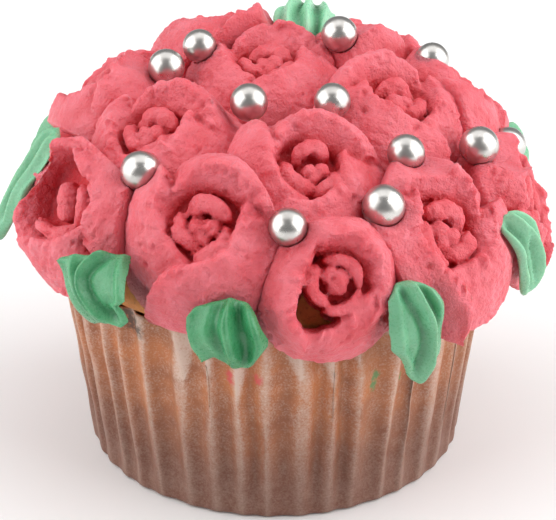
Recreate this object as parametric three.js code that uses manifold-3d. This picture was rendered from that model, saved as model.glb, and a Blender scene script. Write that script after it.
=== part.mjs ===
// A cupcake: a pleated paper case, a domed sponge, buttercream roses and leaves piped on the
// sponge, and silver sugar pearls between the roses. Millimetres, +Z up. The origin is the middle
// of the case's flat underside. Azimuth 0 is the front, where -Y points, and 90 is the +X side.

import * as THREE from "three";
import { mergeVertices } from "three/addons/utils/BufferGeometryUtils.js";
import Module from "manifold-3d";

const wasm = await Module();
wasm.setup();

// The paper case
const BASE_RADIUS = 25.5;
const RIM_RADIUS = 29.5;
const CASE_HEIGHT = 30;
const PAPER = 0.5;
const PLEATS = 42;
const PLEAT_DEPTH_BASE = 0.5;
const PLEAT_DEPTH_RIM = 1.1;
const BASE_ROUND = 0.5;

// The sponge, which fills the case and domes over its rim
const DOME_RADIUS = 30.2;
const DOME_BASE = 31;
const DOME_TOP = 45;
const DOME_SIDES = 28;
const ROOM_SIDES = 14;

// The crown: the squarish dome on which the hearts of the roses lie
const CROWN_RADIUS = 34;
const CROWN_RISE = 22;
const CROWN_BASE = 29.5;
const CROWN_SQUARENESS = 2.35;

// A rose, from its axis outwards and from its heart up and down
const RIM_OUT_START = 5.4;
const RIM_OUT_END = 9.4;
const RIM_UP_START = 0.4;
const RIM_UP_MIDDLE = 1.6;
const RIM_UP_END = -1.4;
const INNER_OUT_START = 2.6;
const INNER_OUT_END = 4.2;
const SKIRT_DROP = 5.8;
const ROSE_DEPTH = 10.5;
const FLOOR_DROP = 3.2;
const NORMAL_ROSE = 12;

// Round a rose, in degrees clockwise: each outer petal takes a third of it, the inner petals start
// part way along the outer ones, and a petal's tail runs on outside the next petal
const PETAL_TURN = 120;
const INNER_START = 50;
const TAIL_TURN = 50;
const SECTION_TURNS = [0, 22, 44, 66, 90, 115];

// Between two solids that touch, and between icing and its neighbours before it is smoothed
const GAP = 0.3;
const ICING_GAP = 0.42;

// Cuts leave slivers. The first of these tolerances that leaves sound edges smooths them away.
const SMOOTHING = [0.14, 0.17, 0.12, 0.2, 0.1, 0.23, 0.08, 0.26, 0.05, 0.3];
const WELDS = [0.02, 0.035, 0.05];
const SHORTEST_EDGE = 0.008;

// Roses: at = the heart's azimuth, polar angle and distance off the crown, faces = azimuth and tilt
// of the axis, radius = outer radius, spin = angle of the first outer petal's inner tip.
const ROSES = {
  front_left: { at: [-20, 50], faces: [-15, 51], radius: 12.8, spin: 30 },
  front_right: { at: [14, 67.5], faces: [9, 62], radius: 11, spin: -19, hollow: [-2.8, -2.9, 3.2] },
  middle: { at: [15, 30.4], faces: [12, 33], radius: 12.2, spin: 38 },
  left: { at: [-62.5, 62], faces: [-60, 60], radius: 12.8, spin: 88 },
  upper_left: { at: [-63.5, 29], faces: [-50, 28], radius: 12, spin: 26 },
  top: { at: [-172, 12], faces: [0, 6], radius: 12, spin: 30 },
  upper_right: { at: [90.5, 26], faces: [60, 25], radius: 11.8, spin: 136 },
  right: { at: [47, 62], faces: [45, 52], radius: 13.4, spin: 127 },
  far_right: { at: [85, 76, 1], faces: [85, 70], radius: 11.8, spin: 60 },
  right_back: { at: [116, 51, 1.4], faces: [115, 42], radius: 11.4, spin: 20 },
  top_right_back: { at: [148, 38, 2.8], faces: [148, 30], radius: 11, spin: 78 },
  top_left_back: { at: [-160, 36, 3.4], faces: [-160, 28], radius: 11, spin: 96 },
  left_back: { at: [-114, 46, 1.4], faces: [-114, 38], radius: 11.6, spin: 40 },
  far_left: { at: [-98, 76, -1.4], faces: [-98, 72], radius: 10.6, spin: 10 },
  back: { at: [178, 68], faces: [178, 60], radius: 11.8, spin: 70 },
  back_left: { at: [-141, 73], faces: [-141, 66], radius: 11.4, spin: 30 },
  back_right: { at: [143, 72], faces: [143, 66], radius: 11.4, spin: 95 },
};

// Sugar pearls: azimuth, polar angle, distance off the crown and diameter
const PEARLS = [
  [-30, 8.5, 0.5, 5],
  [56, 12, 0.5, 4.8],
  [-47, 40.3, 0, 5.2],
  [3.5, 49.6, 0, 4.9],
  [31.7, 47.5, 0, 5.5],
  [52.4, 35.2, 0, 4.9],
  [81.5, 50.3, 0, 5.3],
  [-116, 24, 1, 4.9],
  [-137, 21, 2, 4.6],
  [146, 21.5, 3, 4.9],
  [120.6, 39.3, 2.8, 4.6],
  [162, 55, 1, 5],
  [-127, 66, 0, 4.9],
  [-172, 47, 1.5, 5.1],
  [102, 68, 0.5, 5],
];

// Leaves: azimuth of root and tip, then distance from the cupcake's axis, height and half width at
// the root, at the bend and at the tip
const LEAVES = {
  left: { azimuth: [-86, -84], out: [28.7, 33, 37.2], up: [45.8, 40.8, 30.6], half: [1.5, 3.6, 1] },
  front_left: { azimuth: [-44.2, -39], out: [32.2, 37, 34], up: [38.4, 37, 31], half: [5.2, 6, 5] },
  front: { azimuth: [-10, -9], out: [31.5, 36, 33.5], up: [36, 35.5, 28.7], half: [4, 5, 3.8] },
  front_right: { azimuth: [29, 34], out: [33, 37, 32.3], up: [38, 34, 22.6], half: [3, 5, 2.6] },
  right: { azimuth: [63, 68], out: [32.5, 37, 35.5], up: [39.4, 37, 27.8], half: [2.4, 3.8, 0.8] },
  top_back: { azimuth: [169, 169], out: [17, 21.5, 27], up: [49, 54.5, 50], half: [3, 4.2, 1.5] },
  right_back: { azimuth: [110, 113], out: [32.5, 37.5, 34.5], up: [39, 36, 26], half: [3, 4.6, 1.6] },
  back: { azimuth: [160, 163], out: [32, 37.5, 34], up: [39, 36, 25], half: [3.4, 4.8, 2.6] },
  back_left: { azimuth: [-119, -116], out: [32, 37.5, 34.5], up: [39, 36, 26], half: [3, 4.8, 2] },
};
const LEAF_THICKNESS = 1.7;
const LEAF_STEPS = 6;
const LEAF_SPAN = [-1, -0.5, 0, 0.5, 1];

const MATERIALS = {
  paper: new THREE.MeshStandardMaterial({ color: 0xb88a6c, roughness: 0.75 }),
  sponge: new THREE.MeshStandardMaterial({ color: 0xc98a45, roughness: 0.8 }),
  pink_icing: new THREE.MeshStandardMaterial({ color: 0xe8606f, roughness: 0.55 }),
  green_icing: new THREE.MeshStandardMaterial({ color: 0x4fb07c, roughness: 0.45 }),
  silver: new THREE.MeshStandardMaterial({ color: 0xd9d5d0, roughness: 0.18, metalness: 1 }),
};

const radians = THREE.MathUtils.degToRad;
const lerp = THREE.MathUtils.lerp;

/** A point at a distance and a height from the cupcake's axis, towards an azimuth in degrees. */
function around(azimuth, out, up) {
  const a = radians(azimuth);
  return new THREE.Vector3(out * Math.sin(a), -out * Math.cos(a), up);
}

/** A point of the crown, or off it, by azimuth and polar angle in degrees and the distance off. */
function onCrown(azimuth, polar, off = 0) {
  const power = 2 / CROWN_SQUARENESS;
  const out = CROWN_RADIUS * Math.sin(radians(polar)) ** power;
  const up = CROWN_BASE + CROWN_RISE * Math.cos(radians(polar)) ** power;
  return around(azimuth, out + off * Math.sin(radians(polar)), up + off * Math.cos(radians(polar)));
}

/** A closed solid from points and triangles, turned so that its faces point out. */
function solidOf(points, triangles) {
  const volume = triangles.reduce(
    (sum, [a, b, c]) => sum + points[a].dot(new THREE.Vector3().crossVectors(points[b], points[c])),
    0,
  );
  const facing = volume < 0 ? triangles.map(([a, b, c]) => [a, c, b]) : triangles;
  const vertProperties = new Float32Array(points.flatMap((p) => p.toArray()));
  const triVerts = new Uint32Array(facing.flat());
  return new wasm.Manifold(new wasm.Mesh({ numProp: 3, vertProperties, triVerts }));
}

/** A closed solid from a three.js geometry. */
function solidFrom(geometry) {
  const bare = geometry.clone();
  bare.deleteAttribute("normal");
  bare.deleteAttribute("uv");
  const merged = mergeVertices(bare, 1e-4);
  const vertProperties = merged.attributes.position.array;
  const triVerts = new Uint32Array(merged.index.array);
  const made = new wasm.Manifold(new wasm.Mesh({ numProp: 3, vertProperties, triVerts }));
  return made;
}

/** The solid back as a three.js geometry. */
function geometryOf(solid) {
  const mesh = solid.getMesh();
  const geometry = new THREE.BufferGeometry();
  geometry.setAttribute("position", new THREE.BufferAttribute(mesh.vertProperties, mesh.numProp));
  geometry.setIndex(new THREE.BufferAttribute(mesh.triVerts, 1));
  const flat = geometry.toNonIndexed();
  flat.computeVertexNormals();
  return flat;
}

/** A solid of revolution round Z, from [distance, height] points that start and end on the axis. */
function turned(profile, sides) {
  const outline = profile.map(([out, up]) => new THREE.Vector2(out, up));
  return solidFrom(new THREE.LatheGeometry(outline, sides).rotateX(Math.PI / 2));
}

/** A value that runs from a start over a middle to an end as t goes from 0 to 1. */
function overThree(start, middle, end, t) {
  return start * (1 - t) * (1 - 2 * t) + middle * 4 * t * (1 - t) + end * t * (2 * t - 1);
}

/**
 * A rose's section, from the bud outwards and down the skirt, as [distance, height] points.
 * The turn is counted from the inner tip of the outer petal that stands there.
 */
function roseSection(turn, radius) {
  const scale = radius / NORMAL_ROSE;
  const along = turn / PETAL_TURN;
  const rim = lerp(RIM_OUT_START, RIM_OUT_END, along) * scale;
  const up = overThree(RIM_UP_START, RIM_UP_MIDDLE, RIM_UP_END, along);
  const within = ((turn - INNER_START + PETAL_TURN) % PETAL_TURN) / PETAL_TURN;
  const crest = lerp(INNER_OUT_START, INNER_OUT_END, within);
  const crestUp = overThree(-0.7, 0.5, -1.5, within);
  const foot = crest + 0.8;
  const wall = rim - 0.7;
  const tail = Math.max(0, 1 - turn / TAIL_TURN);
  const ridge = Math.max(rim + 2.4, (RIM_OUT_END + 0.2) * scale);
  return [
    [1.3, -0.1],
    [2, -1.5],
    [crest, crestUp],
    [foot, -2.1],
    [(foot + wall) / 2, -FLOOR_DROP],
    [wall, up - 0.9],
    [rim, up],
    [rim + 1.1, up - 0.8],
    [(rim + 1.1 + ridge) / 2, lerp(up - 1.6, RIM_UP_END - 1.2, tail)],
    [ridge, lerp(-3, RIM_UP_END, tail)],
    [radius, -SKIRT_DROP],
    [radius - 2.5, -ROSE_DEPTH + 1],
  ];
}

/** A rose in its own frame: the heart at the origin and the axis along +Z. */
function roseSolid({ radius, spin, hollow }) {
  const rings = [];
  for (let petal = 0; petal < 3; petal += 1) {
    for (const turn of SECTION_TURNS) {
      const angle = radians(spin - PETAL_TURN * petal - turn);
      const section = roseSection(turn, radius);
      rings.push(section.map(([out, up]) => new THREE.Vector3(
        out * Math.cos(angle),
        out * Math.sin(angle),
        up,
      )));
    }
  }
  const size = rings[0].length;
  const top = rings.length * size;
  const points = [...rings.flat(), new THREE.Vector3(0, 0, 0.4)];
  points.push(new THREE.Vector3(0, 0, -ROSE_DEPTH));
  const triangles = [];
  rings.forEach((_, i) => {
    const here = i * size;
    const there = ((i + 1) % rings.length) * size;
    triangles.push([top, here, there], [top + 1, there + size - 1, here + size - 1]);
    for (let j = 0; j + 1 < size; j += 1) {
      triangles.push([here + j, here + j + 1, there + j + 1]);
      triangles.push([here + j, there + j + 1, there + j]);
    }
  });
  const rose = solidOf(points, triangles);
  if (!hollow) {
    return rose;
  }
  const [x, y, wide] = hollow;
  const shaft = new THREE.CylinderGeometry(wide, wide, ROSE_DEPTH * 2, 9).rotateX(Math.PI / 2);
  return rose.subtract(solidFrom(shaft).translate(x, y, -ROSE_DEPTH - 1.5));
}

/** The matrix that stands a rose on the crown, its own +Y up the slope. */
function roseMatrix({ at, faces }) {
  const axis = around(faces[0], Math.sin(radians(faces[1])), Math.cos(radians(faces[1])));
  const across = around(faces[0] + 90, 1, 0);
  const upSlope = new THREE.Vector3().crossVectors(axis, across);
  const matrix = new THREE.Matrix4().makeBasis(across, upSlope, axis);
  return matrix.setPosition(onCrown(...at));
}

/** Whether each edge of a solid has two faces and a length that survives rounding. */
function isSound(solid) {
  const { numProp, vertProperties, triVerts } = solid.getMesh();
  const corner = (v) => new THREE.Vector3().fromArray(vertProperties, v * numProp);
  const key = (v) => corner(v).multiplyScalar(1000).round().toArray().join();
  const uses = new Map();
  let shortest = Infinity;
  for (let i = 0; i < triVerts.length; i += 1) {
    const from = triVerts[i];
    const to = triVerts[i % 3 === 2 ? i - 2 : i + 1];
    const edge = [key(from), key(to)].sort().join(" ");
    uses.set(edge, (uses.get(edge) ?? 0) + 1);
    shortest = Math.min(shortest, corner(from).distanceTo(corner(to)));
  }
  return shortest > SHORTEST_EDGE && [...uses.values()].every((count) => count === 2);
}

/** The solid with corners that lie within a distance of each other made one, where that closes. */
function welded(solid, distance) {
  const { numProp, vertProperties, triVerts } = solid.getMesh();
  const loose = new THREE.BufferGeometry();
  loose.setAttribute("position", new THREE.BufferAttribute(vertProperties, numProp));
  loose.setIndex(new THREE.BufferAttribute(triVerts, 1));
  const merged = mergeVertices(loose, distance);
  const kept = [];
  for (let i = 0; i < merged.index.count; i += 3) {
    const [a, b, c] = merged.index.array.slice(i, i + 3);
    if (a !== b && b !== c && c !== a) {
      kept.push(a, b, c);
    }
  }
  const mesh = { numProp: 3, vertProperties: merged.attributes.position.array };
  try {
    return new wasm.Manifold(new wasm.Mesh({ ...mesh, triVerts: new Uint32Array(kept) }));
  } catch {
    return solid;
  }
}

/** The largest body of a solid, without the scraps and the slivers that cuts leave. */
function tidied(solid) {
  const bodies = solid.decompose();
  const largest = bodies.reduce((best, body) => (body.volume() > best.volume() ? body : best));
  const tries = SMOOTHING.flatMap((tolerance) => {
    const smooth = largest.asOriginal().simplify(tolerance);
    return [smooth, ...WELDS.map((distance) => welded(smooth, distance))];
  });
  return tries.find(isSound) ?? tries[0];
}

/** A rose cut back to its own side of the plane half-way to a neighbour. */
function trimmed(rose, own, other) {
  const mine = onCrown(...own.at);
  const theirs = onCrown(...other.at);
  const apart = mine.distanceTo(theirs);
  const inward = mine.clone().sub(theirs).normalize();
  const share = other.radius / (own.radius + other.radius);
  const offset = theirs.dot(inward) + apart * share + ICING_GAP / 2;
  return rose.trimByPlane(inward.toArray(), offset);
}

/** The height and radius of the pleats' crests, by height above the base. */
function crestRadius(up) {
  return lerp(BASE_RADIUS, RIM_RADIUS, up / CASE_HEIGHT);
}

function pleatDepth(up) {
  return lerp(PLEAT_DEPTH_BASE, PLEAT_DEPTH_RIM, up / CASE_HEIGHT);
}

/** One level of the pleated wall: each pleat is a crest, a steep side and a broad sloping panel. */
function pleatedRing(up, inset) {
  const ring = [];
  const pitch = 360 / PLEATS;
  for (let pleat = 0; pleat < PLEATS; pleat += 1) {
    for (const [phase, height] of [[0, 1], [0.18, 0], [0.62, 0.3]]) {
      const out = crestRadius(up) - inset - pleatDepth(up) * (1 - height);
      ring.push(around((pleat + phase) * pitch, out, up));
    }
  }
  return ring;
}

/** The paper case: a cup whose wall and floor are one thin skin. */
function caseSolid() {
  const outerFoot = pleatedRing(0, BASE_ROUND);
  const outerWaist = pleatedRing(BASE_ROUND, 0);
  const outerRim = pleatedRing(CASE_HEIGHT, 0);
  const innerRim = pleatedRing(CASE_HEIGHT, PAPER);
  const innerFoot = pleatedRing(PAPER, BASE_ROUND + PAPER);
  const rings = [outerFoot, outerWaist, outerRim, innerRim, innerFoot];
  const size = outerFoot.length;
  const points = [...rings.flat(), new THREE.Vector3(0, 0, 0), new THREE.Vector3(0, 0, PAPER)];
  const underside = rings.length * size;
  const triangles = [];
  for (let i = 0; i < size; i += 1) {
    const next = (i + 1) % size;
    for (let ring = 0; ring + 1 < rings.length; ring += 1) {
      const a = ring * size + i;
      const b = ring * size + next;
      triangles.push([a, b, a + size], [b, b + size, a + size]);
    }
    const top = (rings.length - 1) * size;
    triangles.push([underside, next, i], [underside + 1, top + i, top + next]);
  }
  return solidOf(points, triangles);
}

/** The dome of the sponge as [distance, height] points, grown by a margin. */
function domeProfile(margin, wider) {
  const profile = [];
  for (const polar of [80, 58, 36, 16]) {
    const out = DOME_RADIUS * Math.sin(radians(polar)) * wider + margin;
    const up = lerp(DOME_BASE, DOME_TOP, Math.cos(radians(polar))) + margin;
    profile.push([out, up]);
  }
  profile.push([0, DOME_TOP + margin]);
  return profile;
}

/** The sponge, which fills the case and domes over its rim. */
function spongeSolid() {
  const wall = (up) => crestRadius(up) - pleatDepth(up) - PAPER - GAP;
  const profile = [
    [0, PAPER + GAP],
    [wall(0) - BASE_ROUND, PAPER + GAP],
    [wall(CASE_HEIGHT), CASE_HEIGHT + GAP],
    [DOME_RADIUS - 0.7, CASE_HEIGHT + GAP],
    ...domeProfile(0, 1),
  ];
  return turned(profile, DOME_SIDES);
}

/** The room that the icing leaves for the sponge and the case, with fewer sides than they have. */
function bodyRoom() {
  const wider = 1 / Math.cos(Math.PI / ROOM_SIDES);
  const profile = [
    [0, -1],
    [(BASE_RADIUS + ICING_GAP) * wider, -1],
    [(RIM_RADIUS + ICING_GAP) * wider, CASE_HEIGHT + GAP],
    ...domeProfile(ICING_GAP, wider),
  ];
  return turned(profile, ROOM_SIDES);
}

/** A leaf: an arched, ribbed blade with a wavy edge, from its root on the icing to its tip. */
function leafSolid({ azimuth, out, up, half }, margin) {
  const bend = (ends, t) => (1 - t) ** 2 * ends[0] + 2 * t * (1 - t) * ends[1] + t ** 2 * ends[2];
  const spine = (t) => around(lerp(azimuth[0], azimuth[1], t), bend(out, t), bend(up, t));
  const faceTop = [];
  const faceBottom = [];
  for (let step = 0; step <= LEAF_STEPS; step += 1) {
    const t = step / LEAF_STEPS;
    const middle = spine(t);
    const along = spine(t + 0.01).sub(spine(t - 0.01)).normalize();
    const across = around(lerp(azimuth[0], azimuth[1], t) + 90, 1, 0);
    const normal = new THREE.Vector3().crossVectors(along, across).normalize();
    const rounding = step === LEAF_STEPS ? 0.55 : 1;
    const reach = overThree(...half, t) * rounding + margin;
    for (const s of LEAF_SPAN) {
      const ridge = 0.9 * Math.exp(-((s / 0.35) ** 2)) + 0.5 * Math.sin(t * 9 + s * 2) * s * s;
      const thickness = LEAF_THICKNESS * (1 - 0.45 * Math.abs(s));
      const point = middle.clone().addScaledVector(across, reach * s);
      faceTop.push(point.clone().addScaledVector(normal, ridge + thickness / 2 + margin));
      faceBottom.push(point.clone().addScaledVector(normal, ridge * 0.4 - thickness / 2 - margin));
    }
  }
  const columns = LEAF_SPAN.length;
  const under = faceTop.length;
  const triangles = [];
  const quad = (a, b, c, d) => triangles.push([a, b, c], [a, c, d]);
  for (let step = 0; step < LEAF_STEPS; step += 1) {
    for (let i = 0; i + 1 < columns; i += 1) {
      const a = step * columns + i;
      quad(a, a + 1, a + 1 + columns, a + columns);
      quad(under + a, under + a + columns, under + a + 1 + columns, under + a + 1);
    }
    const left = step * columns;
    const right = left + columns - 1;
    quad(left, left + columns, under + left + columns, under + left);
    quad(right, under + right, under + right + columns, right + columns);
  }
  for (let i = 0; i + 1 < columns; i += 1) {
    const end = LEAF_STEPS * columns + i;
    quad(i, under + i, under + i + 1, i + 1);
    quad(end, end + 1, under + end + 1, under + end);
  }
  return solidOf([...faceTop, ...faceBottom], triangles);
}

function pearlSolid([azimuth, polar, off, diameter], margin) {
  const ball = solidFrom(new THREE.IcosahedronGeometry(diameter / 2 + margin, 1));
  return ball.translate(...onCrown(azimuth, polar, off).toArray());
}

const cupcake = new THREE.Group();

function addMesh(name, solid, material) {
  const mesh = new THREE.Mesh(geometryOf(solid), material);
  mesh.name = name;
  cupcake.add(mesh);
}

const body = bodyRoom();
const pearlRoom = wasm.Manifold.union(PEARLS.map((pearl) => pearlSolid(pearl, ICING_GAP)));
const leafRoom = wasm.Manifold.union(Object.values(LEAVES).map((leaf) => leafSolid(leaf, ICING_GAP)));
const roomLeft = wasm.Manifold.union([body, pearlRoom, leafRoom]);

addMesh("paper_case", caseSolid(), MATERIALS.paper);
addMesh("sponge", spongeSolid(), MATERIALS.sponge);
for (const [name, own] of Object.entries(ROSES)) {
  let rose = roseSolid(own).transform(roseMatrix(own).toArray());
  for (const other of Object.values(ROSES)) {
    if (other !== own) {
      rose = trimmed(rose, own, other);
    }
  }
  addMesh(`rose_${name}`, tidied(rose.subtract(roomLeft)), MATERIALS.pink_icing);
}
for (const [name, leaf] of Object.entries(LEAVES)) {
  const blade = leafSolid(leaf, 0).subtract(body.add(pearlRoom));
  addMesh(`leaf_${name}`, tidied(blade), MATERIALS.green_icing);
}
PEARLS.forEach((pearl, i) => {
  addMesh(`pearl_${String(i + 1).padStart(2, "0")}`, pearlSolid(pearl, 0), MATERIALS.silver);
});

export default cupcake;
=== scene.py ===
import math

import bpy
import numpy as np
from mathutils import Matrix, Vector


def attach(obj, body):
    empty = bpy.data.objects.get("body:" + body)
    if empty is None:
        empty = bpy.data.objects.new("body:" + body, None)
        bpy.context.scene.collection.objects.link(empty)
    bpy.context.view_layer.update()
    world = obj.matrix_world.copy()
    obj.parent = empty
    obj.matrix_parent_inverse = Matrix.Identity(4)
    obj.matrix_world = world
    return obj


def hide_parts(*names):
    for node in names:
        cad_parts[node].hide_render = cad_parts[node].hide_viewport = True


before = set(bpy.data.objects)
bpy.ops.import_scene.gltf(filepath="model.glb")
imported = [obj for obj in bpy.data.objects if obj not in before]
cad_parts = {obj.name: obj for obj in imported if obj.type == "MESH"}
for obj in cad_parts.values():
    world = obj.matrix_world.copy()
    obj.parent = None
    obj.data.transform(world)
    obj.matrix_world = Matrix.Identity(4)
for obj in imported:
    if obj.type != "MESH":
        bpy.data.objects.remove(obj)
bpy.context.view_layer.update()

MM = 0.001
SEED = 160

# Layout, in millimetres, as the solids have it
BASE_RADIUS, RIM_RADIUS, CASE_HEIGHT = 25.5, 29.5, 30.0
PLEATS = 42
FIRST_CREST = -1.5
CROWN_RADIUS, CROWN_RISE, CROWN_BASE, CROWN_SQUARENESS = 34.0, 22.0, 29.5, 2.35
DOME_RADIUS, DOME_BASE, DOME_TOP = 30.2, 31.0, 45.0
ROSE_DEPTH = 10.5
FINE_VOXEL, COARSE_VOXEL, LEAF_VOXEL = 0.275, 0.38, 0.26

# name: heart's azimuth, polar angle and distance off the crown, axis' azimuth and tilt, radius, spin
ROSES = {
    "front_left": ((-20, 50, 0), (-15, 51), 12.8, 30),
    "front_right": ((14, 67.5, 0), (9, 62), 11, -19),
    "middle": ((15, 30.4, 0), (12, 33), 12.2, 38),
    "left": ((-62.5, 62, 0), (-60, 60), 12.8, 88),
    "upper_left": ((-63.5, 29, 0), (-50, 28), 12, 26),
    "top": ((-172, 12, 0), (0, 6), 12, 30),
    "upper_right": ((90.5, 26, 0), (60, 25), 11.8, 136),
    "right": ((47, 62, 0), (45, 52), 13.4, 127),
    "far_right": ((85, 76, 1), (85, 70), 11.8, 60),
    "right_back": ((116, 51, 1.4), (115, 42), 11.4, 20),
    "top_right_back": ((148, 38, 2.8), (148, 30), 11, 78),
    "top_left_back": ((-160, 36, 3.4), (-160, 28), 11, 96),
    "left_back": ((-114, 46, 1.4), (-114, 38), 11.6, 40),
    "far_left": ((-98, 76, -1.4), (-98, 72), 10.6, 10),
    "back": ((178, 68, 0), (178, 60), 11.8, 70),
    "back_left": ((-141, 73, 0), (-141, 66), 11.4, 30),
    "back_right": ((143, 72, 0), (143, 66), 11.4, 95),
}

# azimuth, polar angle, distance off the crown, diameter
PEARLS = [
    (-30, 8.5, 0.5, 5), (56, 12, 0.5, 4.8), (-47, 40.3, 0, 5.2), (3.5, 49.6, 0, 4.9), (31.7, 47.5, 0, 5.5),
    (52.4, 35.2, 0, 4.9), (81.5, 50.3, 0, 5.3), (-116, 24, 1, 4.9), (-137, 21, 2, 4.6), (146, 21.5, 3, 4.9),
    (120.6, 39.3, 2.8, 4.6), (162, 55, 1, 5), (-127, 66, 0, 4.9), (-172, 47, 1.5, 5.1), (102, 68, 0.5, 5),
]

# azimuth at root and tip, then distance and height at root, bend and tip
LEAVES = {
    "left": ((-86, -84), (28.7, 33, 37.2), (45.8, 40.8, 30.6)),
    "front_left": ((-44.2, -39), (32.2, 37, 34), (38.4, 37, 31)),
    "front": ((-10, -9), (31.5, 36, 33.5), (36, 35.5, 28.7)),
    "front_right": ((29, 34), (33, 37, 32.3), (38, 34, 22.6)),
    "right": ((63, 68), (32.5, 37, 35.5), (39.4, 37, 27.8)),
    "top_back": ((169, 169), (17, 21.5, 27), (49, 54.5, 50)),
    "right_back": ((110, 113), (32.5, 37.5, 34.5), (39, 36, 26)),
    "back": ((160, 163), (32, 37.5, 34), (39, 36, 25)),
    "back_left": ((-119, -116), (32, 37.5, 34.5), (39, 36, 26)),
}

# For each leaf, half widths to its left and right at even steps from root to tip, how far its start and its
# end lie further along it from left to right, and its ridges: place across at root and at tip, bow between
# them, half width and height
LEAF_SHAPES = {
    "front_left": {
        "left": (5.4, 6.0, 6.0, 5.6, 5.2, 4.8, 4.2), "right": (4.6, 5.6, 6.2, 6.2, 4.2, 5.2, 5.2),
        "start": (2.6, 1.2, 0, -1.4, -2.4), "end": (3.0, 1.6, 0.2, -0.6, -2.2),
        "ridges": ((0.3, 0.75, -0.65, 0.6, 1.5), (-0.5, 0.1, -0.3, 0.7, 0.5), (0.85, 0.9, 0.0, 0.5, 0.6)),
    },
    "front": {
        "left": (1.2, 4.6, 5.6, 5.8, 5.4, 5.0, 4.2), "right": (2.2, 3.0, 3.7, 4.4, 5.0, 4.8, 3.4),
        "end": (0.9, -1.0, 0.2, 0.4, -1.8),
        "ridges": ((0.1, 0.1, -0.15, 0.75, 1.4), (0.8, 0.75, 0.0, 0.8, 1.3), (-0.5, -0.35, 0.0, 0.8, 0.5)),
    },
    "front_right": {
        "left": (1.2, 3.4, 3.9, 4.5, 4.6, 2.8, 1.6), "right": (1.4, 3.6, 4.1, 3.9, 3.4, 3.0, 1.6),
        "end": (-1.0, 0, 0.4, 0, -1.0),
        "ridges": ((0.0, 0.15, 0.2, 0.62, 1.9), (0.75, 0.7, 0.0, 0.6, 0.6), (-0.75, -0.6, 0.0, 0.6, 0.4)),
    },
    "right": {
        "left": (1.2, 2.2, 2.5, 2.6, 2.5, 2.2, 1.4), "right": (1.6, 3.2, 4.5, 4.7, 4.3, 3.6, 2.0),
        "end": (-0.8, 0.5, 0.2, -0.5, -1.4),
        "ridges": ((-0.1, 0.3, 0.1, 0.55, 1.6), (0.75, 0.85, 0.0, 0.5, 0.7), (-0.85, -0.7, 0.0, 0.45, 0.5)),
    },
    "left": {
        "left": (1.4, 2.0, 2.3, 2.2, 1.8, 1.2, 0.5), "right": (2.6, 3.8, 4.0, 3.8, 3.2, 2.4, 0.8),
        "end": (-0.6, 0, 0.4, 0, -0.6),
        "ridges": ((-0.1, 0.0, 0.0, 0.6, 0.9), (0.6, 0.55, 0.0, 0.5, 0.6)),
    },
    "top_back": {
        "left": (2.6, 3.6, 4.0, 4.2, 4.1, 3.2, 1.4), "right": (2.6, 3.6, 4.2, 4.4, 3.8, 2.6, 1.2),
        "end": (-0.8, 0.3, 0.3, 0.1, -0.7),
        "ridges": ((-0.35, 0.1, 0.0, 0.55, 1.3), (0.35, 0.7, 0.0, 0.55, 1.1), (-0.9, -0.5, 0.0, 0.5, 0.9)),
    },
    "other": {
        "left": (1.8, 3.6, 4.4, 4.7, 4.2, 3.0, 0.9), "right": (1.8, 3.7, 4.5, 4.5, 4.0, 2.8, 0.9),
        "end": (-0.9, 0.1, 0.5, 0, -0.8),
        "ridges": ((0.0, 0.1, 0.1, 0.6, 1.6), (-0.65, -0.55, 0.0, 0.5, 0.6), (0.7, 0.65, 0.0, 0.5, 0.7)),
    },
}
# How pale each leaf's green is, from 0 to 1, and that of the leaves behind
FAIR_LEAVES = {
    "top_back": 1.0, "right": 0.75, "left": 0.5, "front_right": 0.4, "front_left": 0.1, "front": 0.0,
}
OTHER_LEAVES_FAIR = 0.4
LEAF_THICKNESS = 1.7

# A dark brown patch under the front left leaf's tip and smears of icing on the paper: colour, then azimuth,
# height, half width and half height of each
CASE_MARKS = {
    "dark_patch": ((62, 42, 34), ((-39.5, 27.6, 1.7, 1.6), (-43.5, 28.6, 1.2, 1.0))),
    "pink_smear": ((204, 78, 84), ((-12, 22.9, 0.7, 1.1), (-4.6, 23.1, 0.65, 0.8))),
    "green_smear": ((84, 140, 84), ((28, 19.9, 0.45, 1.1), (28.8, 21.4, 0.4, 0.8), (36.3, 20.1, 0.4, 0.5))),
}


# Small tools
def lerp(a, b, t):
    return a + (b - a) * t


def smoothstep(lo, hi, x):
    t = np.clip((np.asarray(x, float) - lo) / (hi - lo), 0, 1)
    return t * t * (3 - 2 * t)


def around(azimuth, out, up):
    """Points at a distance and a height from the axis, towards an azimuth in degrees."""
    a = np.radians(azimuth)
    return np.stack(np.broadcast_arrays(out * np.sin(a), -out * np.cos(a), up), -1).astype(float)


def on_crown(azimuth, polar, off=0.0):
    """A point on the rounded crown that the roses' hearts stand on, or at a distance off it."""
    power = 2 / CROWN_SQUARENESS
    t = math.radians(polar)
    out = CROWN_RADIUS * math.sin(t) ** power + off * math.sin(t)
    up = CROWN_BASE + CROWN_RISE * math.cos(t) ** power + off * math.cos(t)
    return around(azimuth, out, up)


class Noise:
    """Smooth seeded noise in space, about -1 to 1, for whole arrays of points."""

    def __init__(self, seed, size=32):
        self.size = size
        self.lattice = np.random.default_rng(seed).uniform(-1, 1, (size, size, size))

    def __call__(self, points, wavelength, shift=0.0):
        p = np.asarray(points, float) / wavelength + shift
        cell = np.floor(p).astype(int)
        f = p - cell
        f = f * f * f * (f * (f * 6 - 15) + 10)
        total = 0.0
        for corner in np.ndindex(2, 2, 2):
            at = (cell + corner) % self.size
            weight = np.prod(np.where(np.array(corner) == 1, f, 1 - f), axis=-1)
            total = total + weight * self.lattice[at[..., 0], at[..., 1], at[..., 2]]
        return total


noise = Noise(SEED)


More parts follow.
